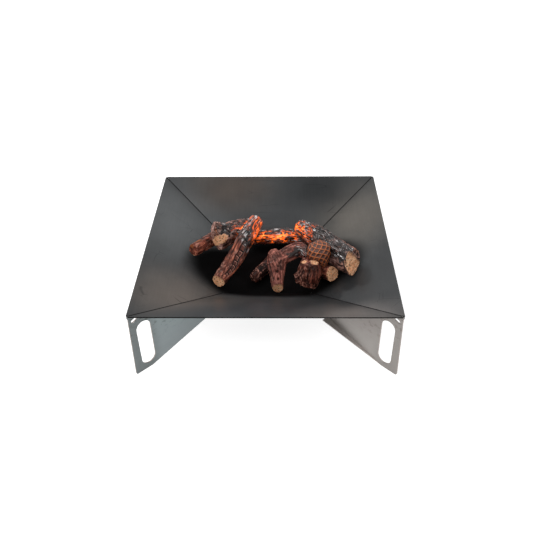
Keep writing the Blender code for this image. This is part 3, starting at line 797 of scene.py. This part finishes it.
def bark_finish(name, skin_color, ridge_color):
    """Bark that is dark in its cracks, partly with painted shade, has painted highlights on the rims of its
    plates, is pale where it is cut, and black and glossy where it has burnt.
    """
    material, graph, shader = finish(name)
    grain = graph.attribute("grain", "Vector")
    crack = graph.attribute("crack")
    cut = graph.attribute("cut")
    drawn_out = graph.vector("MULTIPLY", grain, (0.22, 1, 1))
    streaks = graph.noise(drawn_out, scale=170.0, detail=4.0, roughness=0.6)
    blotches = graph.noise(grain, scale=38.0, detail=3.0, roughness=0.55)
    color = graph.mix(graph.fade(streaks, 0.42, 0.62), skin_color, ridge_color)
    color = graph.mix(graph.fade(blotches, 0.48, 0.62, 0.0, 0.8), color, BLOTCH_COLOR)
    warm = graph.math("MULTIPLY", graph.attribute("warm"), graph.fade(streaks, 0.3, 0.5))
    color = graph.mix(graph.math("MULTIPLY", warm, 0.8), color, WARM_COLOR)
    color = graph.mix(graph.math("MULTIPLY", graph.attribute("plates"), 0.80), color, PLATE_COLOR)
    # Painted highlight: pale rims along the edges of the bark plates
    color = graph.mix(graph.math("MULTIPLY", graph.attribute("rim"), 0.80), color, RIM_HIGHLIGHT_COLOR)
    fibres = graph.noise(grain, scale=420.0, detail=3.0)
    wood = graph.mix(graph.fade(fibres, 0.36, 0.64), WOOD_COLOR, WOOD_PALE)
    wood = graph.mix(graph.fade(blotches, 0.42, 0.60, 0.0, 0.28), wood, WOOD_STAIN)
    wood = graph.mix(graph.attribute("pore"), wood, PORE_COLOR)
    color = graph.mix(cut, color, wood)
    char = graph.use(CHAR, {"Grain": grain, "Wood": color, "Burn": graph.attribute("burnt")})
    # Cracks, holes and grooves near black: the bark's dark crevices, deepened with painted shade
    color = graph.mix(graph.math("MULTIPLY", crack, 0.93), char["Color"], CRACK_AND_SHADE_COLOR)
    graph.feed(shader["Base Color"], color)
    graph.feed(shader["Roughness"], char["Roughness"])
    uncut = graph.math("SUBTRACT", 1.0, cut)
    graph.feed(shader["Coat Weight"], graph.math("MULTIPLY", char["Coat"], uncut))
    shader["Coat Roughness"].default_value = 0.15
    shader["Specular IOR Level"].default_value = 0.15
    glow = graph.attribute("glow")
    ember = graph.mix(graph.fade(glow, 0.26, 0.80), NO_GLOW, EMBER_RED)
    ember = graph.mix(graph.fade(glow, 0.62, 1.0), ember, EMBER_YELLOW)
    graph.feed(shader["Emission Color"], ember)
    shader["Emission Strength"].default_value = EMBER_STRENGTH
    blisters = graph.math("MULTIPLY", char["Height"], 0.9)
    height = graph.math("ADD", graph.math("MULTIPLY", streaks, 0.6), blisters)
    graph.feed(shader["Normal"], graph.bump(height, 0.75, 1.2 * MM))
    return material


RED_BARK = bark_finish("bark_red_brown", tint(112, 55, 43), tint(200, 120, 96))
MAUVE_BARK = bark_finish("bark_mauve", tint(104, 52, 44), tint(204, 128, 112))
PINK_BARK = bark_finish("bark_pink_brown", tint(106, 52, 41), tint(196, 114, 88))
DARK_BARK = bark_finish("bark_dark", tint(76, 34, 27), tint(152, 86, 69))
SHADED_BARK = bark_finish("bark_shaded", tint(40, 17, 13), tint(84, 42, 33))
ASHY_BARK = bark_finish("bark_ashy", tint(142, 96, 86), tint(230, 186, 172))
GREY_BARK = bark_finish("bark_grey_brown", tint(92, 66, 58), tint(134, 104, 98))


# The logs. All lengths are in mm: a stem is points along its middle and radii along it; plate is the
# length and width of a bark plate; furrow is how deep its cracks are; reach is how far from the fire
# the log is charred; calm is how smooth the bark is, from 0 to 1; ragged is how worn the ends are.
# A region is the start, end and radius of a line, and holes and grooves have a depth too. A row is the
# path of a row of plates, its width and the length of a plate.

LOGS = (
    dict(name="far_left_log", node="log_far_left", seed=101, bark=RED_BARK, plate=(60, 16), calm=0.35,
         stems=[([(-188, -20, 151), (-140, 46, 141), (-90, 98, 131)], [18, 18, 16])],
         sawn=[((-190, -26, 133), (-186, -30, 133), 6.0)],
         warm=[((-192, -16, 160), (-170, 6, 166), 5.5), ((-176, -20, 146), (-150, 12, 142), 3.5)],
         grooves=[((-182, -22, 160), (-150, 16, 158), 3.0, 1.8)]),
    dict(name="split_left_log", node="log_split_left", seed=102, bark=ASHY_BARK, plate=(20, 12), furrow=2.8,
         reach=104,
         stems=[([(-128, 5, 163), (-92, 44, 161), (-34, 86, 154)], [25, 30, 21]),
                ([(-104, 32, 174), (-140, 27, 190)], [22, 18])],
         torn=[((-143, 10, 149), (-131, 4, 158), 11.0), ((-131, 4, 162), (-107, -3, 178), 11.5)],
         charred=[((-113, 8, 190), (-88, 24, 184), 15.0), ((-108, 32, 198), (-92, 40, 194), 12.0)],
         warm=[((-132, 10, 190), (-128, 6, 180), 3.5)],
         holes=[((-126, 25, 206), (-124, 27, 206), 4.5, 4.0)],
         grooves=[((-140, 16, 196), (-128, 4, 182), 2.4, 2.0), ((-146, 22, 186), (-136, 8, 176), 2.4, 1.6)]),
    dict(name="front_left_log", node="log_front_left", seed=103, bark=PINK_BARK, plate=(34, 15), furrow=2.0,
         reach=108, calm=0.5,
         stems=[([(-121, -97, 111), (-77, -42, 149), (-54, 0, 176), (-28, 58, 192)], [19, 23, 25, 19])],
         sawn=[((-121, -97, 111), (-121, -97, 111), 30.0)],
         grooves=[((-70, -25, 189), (-93, -62, 160), 2.8, 2.6),
                  ((-93, -62, 160), (-111, -101, 128), 2.6, 2.4),
                  ((-104, -52, 160), (-118, -80, 142), 2.4, 1.4)],
         row=([(-45, -13, 178), (-57, -34, 171), (-68, -50, 162), (-78, -63, 155), (-85, -74, 146),
               (-96, -85, 140), (-106, -93, 134)], 12.0, 13.0)),
    dict(name="low_centre_log", node="log_low_centre", seed=104, bark=SHADED_BARK, reach=20,
         stems=[([(-36, -70, 99), (-8, -34, 104), (20, 20, 106)], [15, 17, 16])]),
    dict(name="forked_front_log", node="log_forked_front", seed=105, bark=MAUVE_BARK, plate=(46, 17),
         furrow=1.7, reach=70, calm=0.75,
         stems=[([(27, -122, 109), (25, -96, 132), (23, -72, 158), (12, -66, 182)], [16, 20, 26, 14]),
                ([(26, -70, 157), (56, -54, 167), (82, -46, 172), (102, -62, 163)], [20, 22, 21, 14])],
         sawn=[((27, -122, 109), (27, -122, 109), 22.0)],
         torn=[((24, -132, 118), (30, -132, 118), 9.0)],
         charred=[((54, -70, 172), (74, -66, 178), 9.0), ((76, -58, 176), (104, -62, 178), 15.0)],
         holes=[((25, -107, 150), (25, -107, 150), 4.0, 4.0), ((28, -118, 136), (28, -118, 136), 4.5, 4.5)],
         grooves=[((18, -89, 173), (27, -100, 160), 2.2, 1.8), ((36, -88, 170), (28, -100, 160), 2.2, 1.8),
                  ((3, -90, 165), (14, -115, 135), 3.0, 2.6), ((46, -82, 170), (40, -98, 150), 2.0, 1.2)]),
    dict(name="stump_right_log", node="log_stump_right", seed=106, bark=DARK_BARK, plate=(36, 12), furrow=2.8,
         calm=0.2,
         stems=[([(100, -98, 108), (103, -97, 140), (104, -92, 172)], [27, 31, 24]),
                ([(96, -92, 126), (68, -97, 120)], [21, 14])],
         torn=[((112, -90, 177), (116, -100, 171), 8.5), ((88, -100, 172), (94, -88, 177), 5.5)],
         warm=[((74, -104, 158), (66, -108, 136), 3.5), ((124, -112, 150), (120, -118, 122), 3.0)],
         holes=[((102, -111, 175), (101, -122, 160), 7.0, 6.5)],
         grooves=[((98, -122, 160), (96, -128, 130), 3.5, 3.0),
                  ((116, -122, 158), (113, -128, 122), 3.5, 3.0)]),
    dict(name="small_right_log", node="log_small_right", seed=107, bark=RED_BARK, plate=(50, 18), furrow=1.4,
         calm=0.6,
         stems=[([(161, -92, 131), (140, -62, 118), (116, -28, 106)], [20, 20, 19])],
         sawn=[((161, -92, 131), (161, -92, 131), 30.0)],
         holes=[((149, -102, 131), (149, -104, 124), 2.2, 2.0)]),
    dict(name="large_right_log", node="log_large_right", seed=108, bark=GREY_BARK, plate=(40, 15), furrow=2.6,
         reach=160, calm=0.15, ragged=3.4,
         stems=[([(208, -98, 173), (173, -48, 165), (132, 24, 157), (84, 86, 150)], [32, 34, 30, 24])],
         sawn=[((208, -98, 173), (208, -98, 173), 48.0)],
         charred=[((150, -40, 190), (190, -98, 192), 21.0), ((150, -20, 196), (196, -74, 204), 17.0)],
         warm=[((196, -36, 192), (222, -66, 186), 4.5)],
         holes=[((224, -72, 176), (226, -76, 172), 5.5, 6.0)],
         grooves=[((138, 14, 192), (160, -24, 195), 3.2, 2.8), ((160, -20, 198), (184, -40, 198), 3.0, 2.4)]),
    dict(name="back_log", node="log_hidden_back", seed=109, bark=DARK_BARK, plate=(24, 13), furrow=2.6,
         reach=140,
         stems=[([(-48, 92, 110), (34, 97, 112), (112, 86, 112)], [20, 24, 21])]),
)


# Pine cone

def cone_finish():
    """Hollow brown scales with orange rims."""
    material, graph, shader = finish("pine_cone_scales", roughness=0.6)
    streaks = graph.noise(graph.place(), scale=260.0, detail=3.0)
    streaky = graph.fade(streaks, 0.35, 0.65)
    inner = graph.mix(streaky, tint(46, 23, 16), tint(98, 56, 42))
    outer = graph.mix(streaky, tint(162, 80, 36), tint(210, 120, 68))
    color = graph.mix(graph.fade(graph.attribute("rim"), 0.35, 0.85), inner, outer)
    graph.feed(shader["Base Color"], color)
    shader["Coat Weight"].default_value = 0.15
    shader["Coat Roughness"].default_value = 0.3
    graph.feed(shader["Normal"], graph.bump(streaks, 0.5, 0.6 * MM))
    return material


def make_pine_cone():
    """Deepen the solid's scales between smooth raised rims."""
    mesh = fine_copy("pine_cone", "pine_cone_scaled")
    surface, normals = points_and_normals(mesh)
    axis = CONE_TIP - CONE_BASE
    length = np.linalg.norm(axis)
    axis /= length
    side = np.array(Vector(axis).orthogonal().normalized())
    up = np.cross(axis, side)
    offset = surface - CONE_BASE
    along = offset @ axis / length
    turn = np.arctan2(offset @ up, offset @ side) * CONE_SCALES_ROUND / 2
    climb = along * CONE_RINGS * math.pi / 2
    net = np.minimum(np.abs(np.sin(turn + climb)), np.abs(np.sin(turn - climb)))
    radial = offset - (offset @ axis)[:, None] * axis
    depth = step_between(net, 0.16, 0.60) * CONE_SCALE_DEPTH
    wall = np.linalg.norm(radial, axis=1)
    inward = radial / np.maximum(wall, 1 * MM)[:, None]
    move_points(mesh, surface - inward * (depth * MM)[:, None] - normals * SURFACE_INSET)
    store(mesh, "rim", step_between(net, 0.46, 0.14))
    add_piece("pine_cone_scaled", mesh, "pine_cone", cone_finish())


# Camera, lamps and floor

def place_camera():
    camera = bpy.data.cameras.new("picture_view")
    camera.sensor_width = SENSOR_WIDTH
    camera.lens = LENS
    item = bpy.data.objects.new("picture_view", camera)
    bpy.context.scene.collection.objects.link(item)
    turn = Matrix.Rotation(CAMERA_YAW, 4, "Z") @ Matrix.Rotation(math.pi / 2 - CAMERA_PITCH, 4, "X")
    item.matrix_world = Matrix.Translation(CAMERA_PLACE) @ turn @ Matrix.Rotation(CAMERA_ROLL, 4, "Z")
    bpy.context.scene.camera = item


def add_lamp(name, place, side, power):
    lamp = bpy.data.lights.new(name, "AREA")
    lamp.shape = "RECTANGLE"
    lamp.size = side
    lamp.size_y = side
    lamp.energy = power
    item = bpy.data.objects.new(name, lamp)
    item.location = place
    item.rotation_euler = (Vector(LAMP_TARGET) - Vector(place)).to_track_quat("-Z", "Y").to_euler()
    bpy.context.scene.collection.objects.link(item)


def seen_directly(graph):
    """1 for rays that look at the background: from the camera, in a reflection or through glass."""
    rays = graph.add("ShaderNodeLightPath").outputs
    direct = graph.math("MAXIMUM", rays["Is Camera Ray"], rays["Is Glossy Ray"])
    return graph.math("MAXIMUM", direct, rays["Is Transmission Ray"])


def light_world():
    world = bpy.data.worlds.new("studio")
    bpy.context.scene.world = world
    world.use_nodes = True
    graph = Graph(world.node_tree)
    background = world.node_tree.nodes["Background"].inputs
    background["Color"].default_value = (1, 1, 1, 1)
    graph.feed(background["Strength"], graph.fade(seen_directly(graph), 0.0, 1.0, WORLD_LIGHT, 1.0))


def lay_floor():
    """A white floor that keeps the pit's shadow."""
    mesh = bpy.data.meshes.new("floor")
    turns = ((-1, -1), (1, -1), (1, 1), (-1, 1))
    corners = [(x * FLOOR_REACH, y * FLOOR_REACH, FLOOR_LEVEL) for x, y in turns]
    mesh.from_pydata(corners, [], [(0, 1, 2, 3)])
    material, graph, shader = finish("white_floor", roughness=1.0)
    shader["Base Color"].default_value = FLOOR_COLOR
    shader["Specular IOR Level"].default_value = 0.0
    shader["Emission Color"].default_value = (1, 1, 1, 1)
    graph.feed(shader["Emission Strength"], graph.math("MULTIPLY", seen_directly(graph), FLOOR_WHITENING))
    mesh.materials.append(material)
    floor = bpy.data.objects.new("floor", mesh)
    bpy.context.scene.collection.objects.link(floor)


place_camera()
light_world()
lay_floor()
for name, place, side, power in LAMPS:
    add_lamp(name, place, side, power)
dress_steel()
for log in LOGS:
    make_log(**log)
make_pine_cone()
bpy.context.scene.view_settings.view_transform = "Standard"
